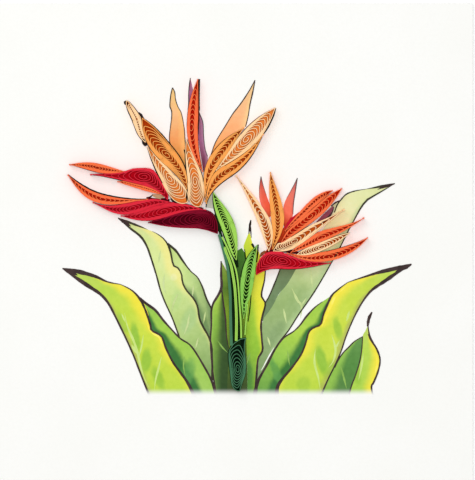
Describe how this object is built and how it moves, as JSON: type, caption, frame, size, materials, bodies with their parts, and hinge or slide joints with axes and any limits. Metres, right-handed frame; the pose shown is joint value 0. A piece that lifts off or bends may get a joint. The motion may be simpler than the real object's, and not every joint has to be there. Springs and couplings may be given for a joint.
{
  "type": "quilled paper art card",
  "caption": "Flat square card printed with a broad-leaved plant, its crested flowers and stem built up from rolled and pinched paper strips glued on edge.",
  "frame": {"origin": "middle of the card's back face", "axes": "+Z out of the picture, away from the card's back; +Y up the picture; +X to the right of it"},
  "size_m": [0.152, 0.152, 0.0041],
  "materials": {
    "white_card": "matt white card",
    "peach_print": "printed ink",
    "red_print": "printed ink",
    "purple_print": "printed ink",
    "grey_green_print": "printed ink",
    "pale_green_print": "printed ink",
    "dark_green_print": "printed ink",
    "bright_green_print": "printed ink",
    "yellow_print": "printed ink",
    "dark_outline_print": "printed ink",
    "peach_paper": "matt paper",
    "orange_paper": "matt paper",
    "orange_red_paper": "matt paper",
    "crimson_paper": "matt paper",
    "maroon_paper": "matt paper",
    "leaf_green_paper": "matt paper",
    "teal_paper": "matt paper"
  },
  "bodies": {
    "root": {"backing_card": "white_card", "printed_peach_petals": "peach_print", "printed_red_petals": "red_print", "printed_purple_petals": "purple_print", "printed_grey_leaves": "grey_green_print", "printed_pale_leaves": "pale_green_print", "printed_dark_leaves": "dark_green_print", "printed_bright_leaves": "bright_green_print", "printed_yellow_edges": "yellow_print", "printed_outlines": "dark_outline_print", "left_petal_tip": "peach_paper", "left_petal_lower": "peach_paper", "centre_petal": "peach_paper", "right_petal_outer": "peach_paper", "small_left_petal": "peach_paper", "small_fan_petal_3": "peach_paper", "small_fan_petal_5": "peach_paper", "left_petal_upper": "orange_paper", "right_petal_inner": "orange_paper", "right_petal_lower": "orange_paper", "small_upright_petal": "orange_paper", "red_spike_petal": "orange_red_paper", "upper_bract_tip": "orange_red_paper", "upper_bract_underside": "orange_red_paper", "long_bract_tip": "orange_red_paper", "small_fan_petal_1": "orange_red_paper", "small_fan_petal_2": "orange_red_paper", "small_fan_petal_4": "orange_red_paper", "small_fan_petal_6": "orange_red_paper", "upper_bract_petal": "crimson_paper", "long_bract_middle": "crimson_paper", "long_bract_lower": "crimson_paper", "small_bract": "crimson_paper", "bract_base": "maroon_paper", "upper_bud_leaf": "leaf_green_paper", "lower_bud_leaf": "leaf_green_paper", "stem_loop_strip": "leaf_green_paper", "stem_long_strip": "leaf_green_paper", "stem_short_strip": "leaf_green_paper", "stem_base_coil": "teal_paper", "stem_edge_strip": "teal_paper"}
  },
  "joints": []
}
